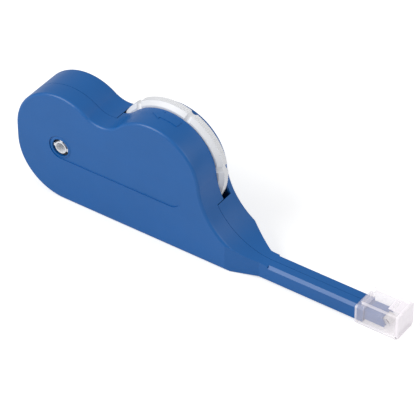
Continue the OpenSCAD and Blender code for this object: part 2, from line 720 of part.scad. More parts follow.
module clutch_felt() color("gray")
    tube(supply, supply_flange_r * felt_share, hub_nose_r + seat, gear_y1, flange_y0);

// Guide rollers on their steel pins
module roller(p) tube(p, roller_r, pin_r + running, reel_y0, reel_y1);
module feed_roller() color("whitesmoke") roller(feed_roller_at);
module return_roller() color("whitesmoke") roller(return_roller_at);

// Tape runs: a strip between two mitred offsets of a path in the side view
function side(a, b) = let (e = (b - a) / norm(b - a)) [-e[1], e[0]];
function mitre(p, i, d) =
    let (m = len(p) - 1, j = max(1, i), k = min(m, i + 1), n = side(p[j - 1], p[j]),
        q = side(p[k - 1], p[k]))
    p[i] + (n + q) * d / (1 + n * q);
module strip(path, from, to) slab(tape_y0, tape_y1) polygon(concat(
    [for (i = [0 : len(path) - 1]) mitre(path, i, from)],
    [for (i = [len(path) - 1 : -1 : 0]) mitre(path, i, to)]));
// Angle of the point where a line that runs below both circles touches them
function under_angle(a, ra, b, rb) = heading(a, b) - acos((ra - rb) / norm(b - a));
// Angle at the first circle where a line passes under it and then on to the far side of the second
function cross_angle(a, ra, b, rb) = heading(a, b) + acos((ra + rb) / norm(b - a));
feed_from = supply_roll_r + roll_clear + tape_t / 2;
feed_angle = under_angle(supply, feed_from, feed_roller_at, wrap);
tape_half = tape_t / 2;
module tape_feed() color("white") strip(concat([supply + polar(feed_from, feed_angle)],
    [for (i = [0 : 4]) feed_roller_at + polar(wrap, feed_angle + (-90 - feed_angle) * i / 4)],
    [[tape_end_x, lane_low]]), -tape_half, tape_half);
return_to = takeup_roll_r + roll_clear + tape_t / 2;
return_angle = cross_angle(return_roller_at, wrap, axle, return_to);
module tape_return() color("white") strip(concat([[tape_end_x, lane_top]],
    [for (i = [0 : 8]) return_roller_at + polar(wrap, 270 + (return_angle - 270) * i / 8)],
    [axle + polar(return_to, return_angle - 180)]), -tape_half, tape_half);

// Sprung tip: slider, head with its soft pad, and the tape that wraps it
module tip_slider() color("whitesmoke") {
    block([slider_x0, part_y - slider_w / 2, core_z - slider_t / 2],
        [slider_x1, part_y + slider_w / 2, core_z + slider_t / 2]);
    translate([slider_x0 - spring_l / 2, part_y, core_z]) rotate([0, 90, 0])
        cylinder(r = spring_r - spring_wire_r * 2 - tape_clear, h = spring_l / 2 + over);
}
tip_low = core_z - slider_t / 2;
tip_top = core_z + slider_t / 2;
nose_z = core_z - slider_t / 4;
slant_share = 0.8;
slant = slider_t * slant_share;
module head_slab(half, points) slab(part_y - half, part_y + half) polygon(points);
module tip_head() color("whitesmoke") head_slab(slider_w / 2, [[slider_x1, tip_low],
    [head_x1, tip_low], [head_x1, nose_z], [head_x1 - pad_t, nose_z],
    [head_x1 - slant - pad_t, tip_top], [slider_x1, tip_top]]);
module tip_pad() color("dimgray") head_slab(tape_w / 2, [[head_x1, nose_z], [head_x1 - slant, tip_top],
    [head_x1 - slant - pad_t, tip_top], [head_x1 - pad_t, nose_z]]);
module tip_tape() color("white") strip([[slider_x0, tip_top], [head_x1 - slant, tip_top],
    [head_x1, nose_z], [head_x1, tip_low], [slider_x0, tip_low]], seat, seat + tape_t);
spring_mean_r = spring_r - spring_wire_r;
spring_rings = spring_turns * 12;
spring_lead = (spring_l - spring_wire_r * 2 - seat * 2) / spring_rings;
wire_sides = 6;
function ring_at(i) = [spring_x0 + spring_wire_r + seat + spring_lead * i,
    part_y + spring_mean_r * cos(30 * i), core_z + spring_mean_r * sin(30 * i)];
function ring_points(i) = [for (j = [0 : wire_sides - 1]) let (a = 360 / wire_sides * j)
    ring_at(i) + spring_wire_r * [sin(a), cos(a) * cos(30 * i), cos(a) * sin(30 * i)]];
module tip_spring() color("silver") polyhedron(
    [for (i = [0 : spring_rings]) each ring_points(i)],
    concat([[for (j = [0 : wire_sides - 1]) j]],
        [for (i = [0 : spring_rings - 1], j = [0 : wire_sides - 1])
            let (k = (j + 1) % wire_sides, a = i * wire_sides, b = a + wire_sides)
            [a + k, a + j, b + j, b + k]],
        [[for (j = [wire_sides - 1 : -1 : 0]) spring_rings * wire_sides + j]]));

// Cap: a clear sleeve on the neck, a taller box, and a hinged lid with a latch frame
module rounded(w, h, r) {
    translate([r, 0]) square([w - r * 2, h]);
    translate([0, r]) square([w, h - r * 2]);
    for (x = [r, w - r], z = [r, h - r]) translate([x, z]) circle(r, $fn = small_fn);
}
module cap_prism(x0, x1, d, h) translate([x0, part_y - cap_w / 2 + d, d]) rotate([90, 0, 90])
    linear_extrude(x1 - x0) rounded(cap_w - d * 2, h - d * 2, cap_edge_r - d / 2);
// Plan view of the box, with its rear corners rounded
module cap_plan() {
    side_y = cap_w / 2 + crease;
    translate([box_x0, part_y - side_y + cap_corner_r])
        square([cap_l, side_y * 2 - cap_corner_r * 2]);
    translate([box_x0 + cap_corner_r, part_y - side_y]) square([cap_l, side_y * 2]);
    for (s = [-1, 1]) translate([box_x0 + cap_corner_r, part_y + s * (side_y - cap_corner_r)])
        circle(cap_corner_r, $fn = small_fn);
}
ear_w = 1.6;
ear_gap = 0.15;
ear_y1 = cap_w / 2 - cap_edge_r;
ear_y0 = ear_y1 - ear_w;
catch_h = 0.35;
catch_l = 0.7;
latch_x0 = cap_x1 - latch_l;
catch_x1 = latch_x0 + latch_bar + latch_window - lip_gap;
module cap_body() color("azure", 0.5) difference() {
    union() {
        difference() {
            union() {
                cap_prism(cap_x, box_x0 + cap_corner_r + over, 0, cap_sleeve_h);
                intersection() {
                    cap_prism(box_x0, cap_x1, 0, cap_h);
                    linear_extrude(cap_h + over) cap_plan();
                }
            }
            // Room for the neck in the sleeve, then the hollow box
            block([cap_x - over, part_y - neck_w / 2 - cap_gap, neck_lift - cap_gap],
                [neck_end + tip_travel, part_y + neck_w / 2 + cap_gap, neck_top + cap_gap]);
            cap_prism(box_x0 + cap_wall, cap_x1 + over, cap_wall, cap_h);
            // Notch for the lid's hinge knuckle
            block([cap_x1 - knuckle_r, part_y - ear_y0, -over],
                [cap_x1 + over, part_y + ear_y0, knuckle_r * 2 + ear_gap]);
        }
        // Ears that hold the hinge pin
        for (y = [part_y - ear_y1, part_y + ear_y0]) {
            rod(hinge_at, knuckle_r, y, y + ear_w);
            block([cap_x1 - cap_wall, y, 0], [hinge_at[0], y + ear_w, knuckle_r * 2]);
        }
        // Catch for the lid's latch frame
        block([catch_x1 - catch_l, part_y - latch_w / 5, cap_h - cap_wall / 2],
            [catch_x1, part_y + latch_w / 5, cap_h + catch_h]);
    }
    rod(hinge_at, lid_pin_r + seat, part_y - ear_y1 - seat, part_y + ear_y1 + seat);
}
module cap_hinge_pin() color("silver")
    rod(hinge_at, lid_pin_r, part_y - ear_y1, part_y + ear_y1);
lid_top = cap_h + lid_gap + latch_t;
module cap_lid() color("white", 0.7) difference() {
    union() {
        difference() {
            cap_prism(lid_x0, lid_x1, 0, cap_h);
            block([lid_x0 - over, part_y - cap_w, -over],
                [lid_x1 + over, part_y + cap_w, hinge_at[1]]);
            for (y = [part_y - cap_w, part_y + ear_y0 - ear_gap])
                rod(hinge_at, knuckle_r + ear_gap, y, y + cap_w - ear_y0 + ear_gap);
        }
        // Hinge knuckle between the cap's ears
        rod(hinge_at, knuckle_r, part_y - ear_y0 + ear_gap, part_y + ear_y0 - ear_gap);
        // Latch frame over the top of the box
        block([latch_x0, part_y - latch_w / 2, cap_h + lid_gap],
            [lid_x1, part_y + latch_w / 2, lid_top]);
        block([lid_x0, part_y - latch_w / 2, cap_h - cap_edge_r],
            [lid_x1, part_y + latch_w / 2, lid_top]);
    }
    rod(hinge_at, lid_pin_r + running, part_y - cap_w, part_y + cap_w);
    block([latch_x0 + latch_bar, part_y - latch_w / 2 + latch_bar, cap_h - over],
        [latch_x0 + latch_bar + latch_window, part_y + latch_w / 2 - latch_bar, lid_top + over]);
}

near_shell();
far_shell();
nozzle();
wheel_axle();
idler_pin();
roller_pins();
pawl_pin();
tape_feed();
tape_return();
tip_spring();
thumb_wheel();
takeup_reel();
takeup_flange();
takeup_roll();
drive_gear();
ratchet_ring();
supply_reel();
supply_flange();
supply_roll();
supply_gear();
clutch_felt();
idler_gear();
feed_roller();
return_roller();
pawl();
tip_slider();
tip_head();
tip_pad();
tip_tape();
cap_body();
cap_hinge_pin();
cap_lid();
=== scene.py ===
"""Dresses the tape cleaner's fixed frame with its finishes, soft edges and a plain studio.

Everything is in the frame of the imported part: +X to the tip, +Z up, and -Y towards the side
face that shows the reel's hub. Lengths are in metres, apart from those named with _mm.
"""

import logging
import math
from dataclasses import dataclass
from enum import Enum
from typing import Protocol

import bmesh
import bpy
from mathutils import Matrix, Vector


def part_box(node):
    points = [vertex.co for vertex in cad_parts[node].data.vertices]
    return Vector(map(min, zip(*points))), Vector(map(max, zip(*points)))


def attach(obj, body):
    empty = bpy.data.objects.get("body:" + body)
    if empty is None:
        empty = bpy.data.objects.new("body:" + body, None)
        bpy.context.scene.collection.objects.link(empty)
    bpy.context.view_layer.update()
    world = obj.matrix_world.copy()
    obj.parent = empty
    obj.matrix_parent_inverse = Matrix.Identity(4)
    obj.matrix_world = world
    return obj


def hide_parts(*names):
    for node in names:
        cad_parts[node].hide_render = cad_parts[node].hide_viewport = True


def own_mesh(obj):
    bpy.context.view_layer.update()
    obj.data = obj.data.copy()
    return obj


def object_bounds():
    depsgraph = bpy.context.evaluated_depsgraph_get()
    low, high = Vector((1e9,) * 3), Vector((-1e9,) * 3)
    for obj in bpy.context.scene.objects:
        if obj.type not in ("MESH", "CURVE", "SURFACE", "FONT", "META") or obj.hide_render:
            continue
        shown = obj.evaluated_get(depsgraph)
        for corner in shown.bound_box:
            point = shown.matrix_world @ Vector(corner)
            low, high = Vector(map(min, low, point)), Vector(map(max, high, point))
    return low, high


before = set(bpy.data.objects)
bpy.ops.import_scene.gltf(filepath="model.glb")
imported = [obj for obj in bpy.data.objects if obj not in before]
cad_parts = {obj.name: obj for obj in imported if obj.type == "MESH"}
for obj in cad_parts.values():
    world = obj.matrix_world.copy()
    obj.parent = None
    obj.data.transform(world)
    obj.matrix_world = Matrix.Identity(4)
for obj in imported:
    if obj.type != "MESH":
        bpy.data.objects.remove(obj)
CAD_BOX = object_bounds()
LOG = logging.getLogger("tape_cleaner")
MM = 0.001
# Faces that meet at a sharper angle than this keep a crease between them
CREASE = math.radians(35)
# The wave texture turns this many radians for each unit of its scaled coordinate
WAVE_RADIANS = 20

Triple = tuple[float, float, float]


def linear_rgba(hex_colour: str) -> tuple[float, float, float, float]:
    """Turns an sRGB hex colour into linear light.

    Args:
        hex_colour: Six hex digits after a hash sign.

    Returns:
        Linear red, green and blue, with an alpha of one.
    """
    digits = hex_colour.lstrip("#")
    values = []
    for start in (0, 2, 4):
        share = int(digits[start : start + 2], 16) / 255
        # Both parts of the sRGB curve, with the standard's own numbers
        values.append(share / 12.92 if share <= 0.04045 else ((share + 0.055) / 1.055) ** 2.4)
    return values[0], values[1], values[2], 1.0


def linked(name: str, data: bpy.types.ID) -> bpy.types.Object:
    """Makes an object of the data and links it to the scene."""
    made = bpy.data.objects.new(name, data)
    bpy.context.scene.collection.objects.link(made)
    return made


class ShaderGraph:
    """A new material's node tree with its output and Principled shader in place."""

    def __init__(self, name: str) -> None:
        """Makes the material and clears its default nodes."""
        self.material = bpy.data.materials.new(name)
        self.material.use_nodes = True
        self.tree = self.material.node_tree
        self.tree.nodes.clear()
        self.output = self.add("ShaderNodeOutputMaterial")
        self.shader = self.add("ShaderNodeBsdfPrincipled")
        self.join(self.shader.outputs["BSDF"], self.output.inputs["Surface"])

    def join(self, source: bpy.types.NodeSocket, target: bpy.types.NodeSocket) -> None:
        """Links one socket to another."""
        self.tree.links.new(source, target)

    def add(self, kind: str, sockets: dict | None = None, **settings: object) -> bpy.types.Node:
        """Adds one node with its settings and links.

        Args:
            kind: The node's type name.
            sockets: Input name or index to a value or to the output socket that feeds it.
            settings: Properties of the node itself.

        Returns:
            The new node.
        """
        node = self.tree.nodes.new(kind)
        for key, value in settings.items():
            setattr(node, key, value)
        for key, value in (sockets or {}).items():
            if isinstance(value, bpy.types.NodeSocket):
                self.join(value, node.inputs[key])
            else:
                node.inputs[key].default_value = value
        return node

    def object_space(self) -> bpy.types.NodeSocket:
        """Coordinates in metres that stay with the piece."""
        return self.add("ShaderNodeTexCoord").outputs["Object"]

    def work_out(self, operation: str, *values: object) -> bpy.types.NodeSocket:
        """Works one sum out from numbers or sockets.

        Args:
            operation: The math node's name for it.
            values: What goes in, in the node's order.

        Returns:
            The result.
        """
        node = self.add("ShaderNodeMath", dict(enumerate(values)), operation=operation)
        return node.outputs["Value"]

    def noise(self, size_mm: float, detail: float = 3.0) -> bpy.types.NodeSocket:
        """Adds even noise.

        Args:
            size_mm: Size of one blotch or grain.
            detail: How many finer layers ride on it.

        Returns:
            The noise value, around one half.
        """
        sockets = {"Vector": self.object_space(), "Scale": 1 / (size_mm * MM), "Detail": detail}
        return self.add("ShaderNodeTexNoise", sockets).outputs["Fac"]

    def streaks(self, size_mm: float, squeeze: Triple) -> bpy.types.NodeSocket:
        """Adds noise that is drawn out along some axes.

        Args:
            size_mm: Width of one streak.
            squeeze: What the coordinates are multiplied by, under one where streaks are long.

        Returns:
            The noise value, around one half.
        """
        place = {0: self.object_space(), 1: squeeze}
        scaled = self.add("ShaderNodeVectorMath", place, operation="MULTIPLY").outputs["Vector"]
        sockets = {"Vector": scaled, "Scale": 1 / (size_mm * MM)}
        return self.add("ShaderNodeTexNoise", sockets).outputs["Fac"]

    def ramp(self, value: bpy.types.NodeSocket, low: float, high: float) -> bpy.types.NodeSocket:
        """Spreads the middle of a pattern's values over a range.

        Args:
            value: A pattern from zero to one.
            low: What its darkest parts become.
            high: What its lightest parts become.

        Returns:
            The mapped value.
        """
        # The node holds what lies below or above these two values at the range's ends
        sockets = {"Value": value, "From Min": 0.3, "From Max": 0.7, "To Min": low, "To Max": high}
        return self.add("ShaderNodeMapRange", sockets).outputs["Result"]

    def bump(self, height: bpy.types.NodeSocket, depth_mm: float) -> None:
        """Lets a height pattern of the given depth tilt the surface."""
        sockets = {"Height": height, "Strength": 1.0, "Distance": depth_mm * MM}
        node = self.add("ShaderNodeBump", sockets)
        self.join(node.outputs["Normal"], self.shader.inputs["Normal"])

    def tint(self, colour: str, amount: bpy.types.NodeSocket) -> None:
        """Scales the brightness of the base colour by a value around one."""
        sockets = {"Color": linear_rgba(colour), "Value": amount}
        node = self.add("ShaderNodeHueSaturation", sockets)
        self.join(node.outputs["Color"], self.shader.inputs["Base Color"])

    def mottle(self, colour: str, size_mm: float, swing: float) -> None:
        """Gives an even base colour soft blotches of tone.

        Args:
            colour: The base colour.
            size_mm: Size of one blotch.
            swing: How far its brightness goes up and down.
        """
        self.tint(colour, self.ramp(self.noise(size_mm), 1 - swing, 1 + swing))

    def set(self, **values: object) -> None:
        """Sets even values on the shader's own sockets, with underscores for spaces."""
        for key, value in values.items():
            self.shader.inputs[key.replace("_", " ")].default_value = value


class FinishKind(Protocol):
    """Anything that can build a material under its own name."""

    name: str

    def make(self) -> bpy.types.Material:
        """Builds the material."""


@dataclass(frozen=True)
class MouldedPlastic:
    """Opaque injection-moulded plastic, from satin to glossy."""

    name: str
    colour: str
    roughness: float = 0.4
    ior: float = 1.53
    blotch_mm: float = 22.0
    blotch: float = 0.03
    grain_mm: float = 0.35
    grain_detail: float = 2.0
    grain_depth_mm: float = 0.006
    flow_mm: float = 9.0
    flow_squeeze: Triple = (0.25, 1.0, 1.0)
    gloss_drift: float = 0.05

    def make(self) -> bpy.types.Material:
        """Builds the material: blotches of tone, flow marks in the gloss, and a mould's grain.

        Returns:
            The material.
        """
        graph = ShaderGraph(self.name)
        graph.mottle(self.colour, self.blotch_mm, self.blotch)
        # Melt cools unevenly as it fills the mould, so the gloss drifts in long weak streaks
        streak = graph.streaks(self.flow_mm, self.flow_squeeze)
        low, high = self.roughness - self.gloss_drift, self.roughness + self.gloss_drift
        graph.join(graph.ramp(streak, low, high), graph.shader.inputs["Roughness"])
        graph.bump(graph.noise(self.grain_mm, self.grain_detail), self.grain_depth_mm)
        graph.set(IOR=self.ior)
        return graph.material


@dataclass(frozen=True)
class ClearPlastic:
    """Thin clear plastic with a slight haze, hazier where the eye looks along the wall, where its
    extra whiteness is painted light, and with a faint painted glow.
    """

    name: str
    colour: str
    low: Triple
    high: Triple
    wall_mm: float = 1.2
    haze: float = 0.2
    # Haze in the bands where two walls meet; its extra whiteness there is painted light
    painted_edge_haze: float = 0.52
    roughness: float = 0.2
    ior: float = 1.49
    # Strength of the painted glow that keeps the clear walls from going dark
    glow: float = 0.11
    blotch_mm: float = 6.0
    blotch: float = 0.02
    cloud_mm: float = 4.0
    cloud: float = 0.02
    wave_mm: float = 3.0
    wave_detail: float = 1.0
    wave_depth_mm: float = 0.004

    def near_ends(
        self, graph: ShaderGraph, axis: str, low: float, high: float
    ) -> bpy.types.NodeSocket:
        """Tells where a point lies within one wall's thickness of the box's two ends.

        Args:
            graph: The material's nodes.
            axis: Which of X, Y and Z to measure along.
            low: The box's lower end along it, in metres.
            high: The box's upper end along it, in metres.

        Returns:
            One near the ends and zero between them.
        """
        place = {"Vector": graph.object_space()}
        along = graph.add("ShaderNodeSeparateXYZ", place).outputs[axis]
        away = graph.work_out("SUBTRACT", along, (low + high) / 2)
        size = graph.work_out("ABSOLUTE", away)
        return graph.work_out("GREATER_THAN", size, (high - low) / 2 - self.wall_mm * MM)

    def make(self) -> bpy.types.Material:
        """Builds the material: an even haze, thicker in the bands where two walls meet, where it
        paints in the light that the wall scatters along its length, and a faint painted glow.

        Returns:
            The material.
        """
        graph = ShaderGraph(self.name)
        graph.mottle(self.colour, self.blotch_mm, self.blotch)
        ends = [self.near_ends(graph, *side) for side in zip("XYZ", self.low, self.high)]
        count = graph.work_out("ADD", graph.work_out("ADD", ends[0], ends[1]), ends[2])
        # Two walls meet where the count is two or more
        band = graph.work_out("GREATER_THAN", count, 1.5)
        # The extra haze in these bands paints in the light that the wall scatters where the eye
        # looks along it
        levels = {"Value": band, "To Min": self.haze, "To Max": self.painted_edge_haze}
        haze = graph.add("ShaderNodeMapRange", levels).outputs["Result"]
        # The moulded wall is not quite even, which shows as weak clouds in the haze
        cloud = graph.ramp(graph.noise(self.cloud_mm), -self.cloud, self.cloud)
        graph.join(graph.work_out("ADD", haze, cloud), graph.shader.inputs["Alpha"])
        graph.bump(graph.noise(self.wave_mm, self.wave_detail), self.wave_depth_mm)
        graph.set(Roughness=self.roughness, IOR=self.ior)
        # A faint painted glow: emission that stands in for light that enters the wall elsewhere
        # and leaves it again here, so it is never quite dark
        graph.set(Emission_Color=linear_rgba(self.colour), Emission_Strength=self.glow)
        return graph.material


@dataclass(frozen=True)
class GroundSteel:
    """Steel pin stock or spring wire."""

    name: str
    colour: str
    roughness: float = 0.28
    blotch_mm: float = 3.0
    blotch: float = 0.04
    mark_mm: float = 0.08
    mark_squeeze: Triple = (0.1, 1.0, 0.1)
    mark_depth_mm: float = 0.002
    smoother: float = 0.06
    rougher: float = 0.08

    def make(self) -> bpy.types.Material:
        """Builds the material: metal with fine marks round the pin.

        Returns:
            The material.
        """
        graph = ShaderGraph(self.name)
        graph.mottle(self.colour, self.blotch_mm, self.blotch)
        # Grinding runs round the pin, whose axis is Y, so the marks are long in X and Z
        marks = graph.streaks(self.mark_mm, self.mark_squeeze)
        low, high = self.roughness - self.smoother, self.roughness + self.rougher
        graph.join(graph.ramp(marks, low, high), graph.shader.inputs["Roughness"])
        graph.bump(marks, self.mark_depth_mm)
        graph.set(Metallic=1.0)
        return graph.material


@dataclass(frozen=True)
class WovenTape:
    """Microfibre cleaning tape, woven from fine thread."""

    name: str
    colour: str
    radian_mm: float = 0.25
    unevenness: float = 0.4
    valley: float = 0.94
    crown: float = 1.02
    depth_mm: float = 0.03
    roughness: float = 0.85
    sheen: float = 0.3

    def make(self) -> bpy.types.Material:
        """Builds the material: two crossing sets of raised bands, as threads in a weave.

        Returns:
            The material.
        """
        graph = ShaderGraph(self.name)
        # Real threads lie about 0.05 mm apart. One band here is tau times radian_mm wide, or
        # 1.6 mm, so the weave is drawn some thirty times coarser, which lets it be seen
        bands = {
            "Vector": graph.object_space(),
            "Scale": 1 / (self.radian_mm * MM) / WAVE_RADIANS,
            "Distortion": self.unevenness,
        }
        along = graph.add("ShaderNodeTexWave", bands, bands_direction="Y").outputs["Fac"]
        across = graph.add("ShaderNodeTexWave", bands, bands_direction="DIAGONAL").outputs["Fac"]
        weave = graph.work_out("MULTIPLY", along, across)
        graph.tint(self.colour, graph.ramp(weave, self.valley, self.crown))
        graph.bump(weave, self.depth_mm)
        graph.set(Roughness=self.roughness, Sheen_Weight=self.sheen)
        return graph.material


@dataclass(frozen=True)
class PressedFelt:
    """Felt or foam: matt, fuzzy and uneven."""

    name: str
    colour: str
    fibre_mm: float = 0.5
    fibre_detail: float = 6.0
    valley: float = 0.85
    crown: float = 1.12
    depth_mm: float = 0.08
    roughness: float = 0.95
    sheen: float = 0.5

    def make(self) -> bpy.types.Material:
        """Builds the material: tangled fibres or cells under a soft sheen.

        Returns:
            The material.
        """
        graph = ShaderGraph(self.name)
        fuzz = graph.noise(self.fibre_mm, self.fibre_detail)
        graph.tint(self.colour, graph.ramp(fuzz, self.valley, self.crown))
        graph.bump(fuzz, self.depth_mm)
        graph.set(Roughness=self.roughness, Sheen_Weight=self.sheen)
        return graph.material


CAP_LOW, CAP_HIGH = (tuple(corner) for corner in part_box("cap_body"))
LID_LOW, LID_HIGH = (tuple(corner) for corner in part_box("cap_lid"))


class Finish(Enum):
    """Every finish on the tool, by what it is made of."""

    # ABS from a spark-eroded steel mould: an even satin skin whose gloss follows the curves
    BLUE_ABS = MouldedPlastic("moulded_blue_abs", "#0B5EA6", roughness=0.36)
    # The same plastic from a smoother mould, coloured right through, so that the ridges stay as
    # white as the rim
    WHITE_ABS = MouldedPlastic("moulded_white_abs", "#EFF0F3", roughness=0.38, blotch=0.012)
    # Polystyrene takes a brighter polish than ABS, seen on the reel's nose in its window
    REEL_STYRENE = MouldedPlastic(
        "moulded_white_styrene", "#E8EAEE", roughness=0.28, ior=1.59, blotch=0.012
    )
    # Uncoloured acetal is slightly yellow and waxy, because it lets a little light in
    GEAR_ACETAL = MouldedPlastic(
        "moulded_natural_acetal", "#DAD7CC", roughness=0.45, ior=1.48, blotch=0.02
    )
    # Acetal with grey pigment, for the pieces that rub, and for the supply gear, whose grey also
    # paints in the shade of the gap round the reel's hub
    GREY_ACETAL = MouldedPlastic("moulded_grey_acetal", "#73767B", roughness=0.45, ior=1.48)
    # The same acetal in a pale grey, which shows through the cap
    TIP_ACETAL = MouldedPlastic("moulded_pale_acetal", "#D5D8DE", ior=1.48, blotch=0.02)
    # Clear styrene from a plain mould: nearly colourless, faintly milky, with painted whiteness
    # along its edges and a faint painted glow
    CLEAR_STYRENE = ClearPlastic("clear_styrene", "#FDF7FB", CAP_LOW, CAP_HIGH)
    # The lid's thick walls and its frame scatter more light, so it is milky beside the cap
    MILKY_STYRENE = ClearPlastic(
        "milky_styrene", "#FFFAFF", LID_LOW, LID_HIGH, haze=0.6, painted_edge_haze=0.75
    )
    # Centreless-ground pin stock: bright, with fine marks round it that spread its highlight
    STEEL = GroundSteel("ground_steel", "#B9BBBE")
    # Wire drawn through a polished die is smoother than ground stock
    SPRING_STEEL = GroundSteel("drawn_spring_steel", "#A9ABAF", roughness=0.22)
    # Lint-free microfibre, woven and heat set: matt with a faint sheen from the fibre ends
    CLEAN_TAPE = WovenTape("woven_microfibre_clean", "#F1F1EE")
    # The same tape after use, a little grey with what it has wiped off
    USED_TAPE = WovenTape("woven_microfibre_used", "#DDDCD8")
    # Wool pressed into a sheet and punched: a dull, fibrous face with a soft edge
    FELT = PressedFelt("pressed_wool_felt", "#5A5A5C")
    # Closed-cell silicone foam, cut from sheet: matt and finely pitted
    PAD = PressedFelt("silicone_foam_pad", "#4D4F54", fibre_mm=0.3)


class Wardrobe:
    """Makes each finish once and hands it out."""

    def __init__(self) -> None:
        """Starts with nothing made."""
        self.made: dict[Finish, bpy.types.Material] = {}

    def material(self, finish: Finish) -> bpy.types.Material:
        """The material of a finish, built at its first use."""
        if finish not in self.made:
            kind: FinishKind = finish.value
            self.made[finish] = kind.make()
        return self.made[finish]


def axis_and_radii(node: str) -> tuple[Vector, float, float]:
    """Measures a round node whose axis runs along Y.

    Args:
        node: Name of the CAD node.

    Returns:
        The middle of its box, its inner radius and its outer radius, in metres.
    """
    low, high = (Vector(corner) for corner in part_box(node))
    middle = (low + high) / 2
    corners = (vertex.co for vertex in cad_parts[node].data.vertices)
    spans = [math.hypot(corner.x - middle.x, corner.z - middle.z) for corner in corners]
    return middle, min(spans), (high.x - low.x) / 2


def creased_piece(
    name: str, mesh: bpy.types.Mesh, work: bmesh.types.BMesh
) -> bpy.types.Object:
    """Writes worked faces back to a mesh and links it, smooth between sharp creases.

    Args:
        name: Name of the piece.
        mesh: The mesh to write to.
        work: The worked faces, freed here.

    Returns:
        The linked object.
    """
    work.to_mesh(mesh)
    work.free()
    mesh.shade_smooth()
    mesh.set_sharp_from_angle(angle=CREASE)
    return linked(name, mesh)


def mesh_piece(
    name: str, corners: list[Vector], faces: list[tuple[int, ...]]
) -> bpy.types.Object:
    """Makes a piece from corners and faces.

    Args:
        name: Name of the piece.
        corners: Its corners, in metres.
        faces: Corner numbers of each face.

    Returns:
        The linked object.
    """
    mesh = bpy.data.meshes.new(name)
    mesh.from_pydata(corners, [], faces)
    work = bmesh.new()
    work.from_mesh(mesh)
    bmesh.ops.recalc_face_normals(work, faces=work.faces)
    return creased_piece(name, mesh, work)


def lathe(
    name: str, middle: Vector, profile: list[tuple[float, float]], facets: int
) -> bpy.types.Object:
    """Turns a closed profile round an axis along Y.

    Args:
        name: Name of the piece.
        middle: A point on the axis.
        profile: Radius and Y of each corner, in metres, in order round the section.
        facets: How many facets go round.

    Returns:
        The linked object.
    """
    corners, faces, count = [], [], len(profile)
    for step in range(facets):
        turn = math.tau * step / facets
        for radius, y in profile:
            x, z = middle.x + radius * math.cos(turn), middle.z + radius * math.sin(turn)
            corners.append(Vector((x, y, z)))
    for step in range(facets):
        here, there = step * count, (step + 1) % facets * count
        for corner in range(count):
            after = (corner + 1) % count
            faces.append((here + corner, here + after, there + after, there + corner))
    return mesh_piece(name, corners, faces)


def add_bevel(
    piece: bpy.types.Object, name: str, width_mm: float, segments: int, least_degrees: float
) -> bpy.types.Modifier:
    """Bevels the edges of a piece.

    Args:
        piece: The object.
        name: Name of the modifier.
        width_mm: Width of the bevel.
        segments: How many faces make it up.
        least_degrees: The flattest edge that still gets it.

    Returns:
        The modifier.
    """
    bevel = piece.modifiers.new(name, "BEVEL")
    bevel.width = width_mm * MM
    bevel.segments = segments
    bevel.limit_method = "ANGLE"
    bevel.angle_limit = math.radians(least_degrees)
    return bevel


@dataclass
class SubAssembly:
    """What every sub-assembly shares: dressing CAD nodes and placing pieces of its own."""

    wardrobe: Wardrobe

    def dress(self, finish: Finish, *nodes: str) -> None:
        """Puts a finish on CAD nodes.

        Args:
            finish: What they are made of.
            nodes: Names of the CAD nodes.
        """
        for node in nodes:
            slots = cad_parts[node].data.materials
            slots.clear()
            slots.append(self.wardrobe.material(finish))
            LOG.info("%s is dressed in %s", node, finish.value.name)

    def soften(self, width_mm: float, *nodes: str) -> None:
        """Breaks the sharp edges of CAD nodes with a small bevel.

        Args:
            width_mm: Width of the bevel.
            nodes: Names of the CAD nodes.
        """
        for node in nodes:
            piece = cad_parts[node]
            bevel = add_bevel(piece, "soft_edges", width_mm, segments=2, least_degrees=40)
            bevel.harden_normals = True

    def place(self, piece: bpy.types.Object, finish: Finish, body: str, node: str) -> None:
        """Dresses a new piece and lets it stand for a CAD node.

        Args:
            piece: The new object.
            finish: What it is made of.
            body: The CAD body that it rides on.
            node: The CAD node that it replaces.
        """
        piece.data.materials.clear()
        piece.data.materials.append(self.wardrobe.material(finish))
        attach(piece, body)
        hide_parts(node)
        LOG.info("%s stands for %s, in %s", piece.name, node, finish.value.name)


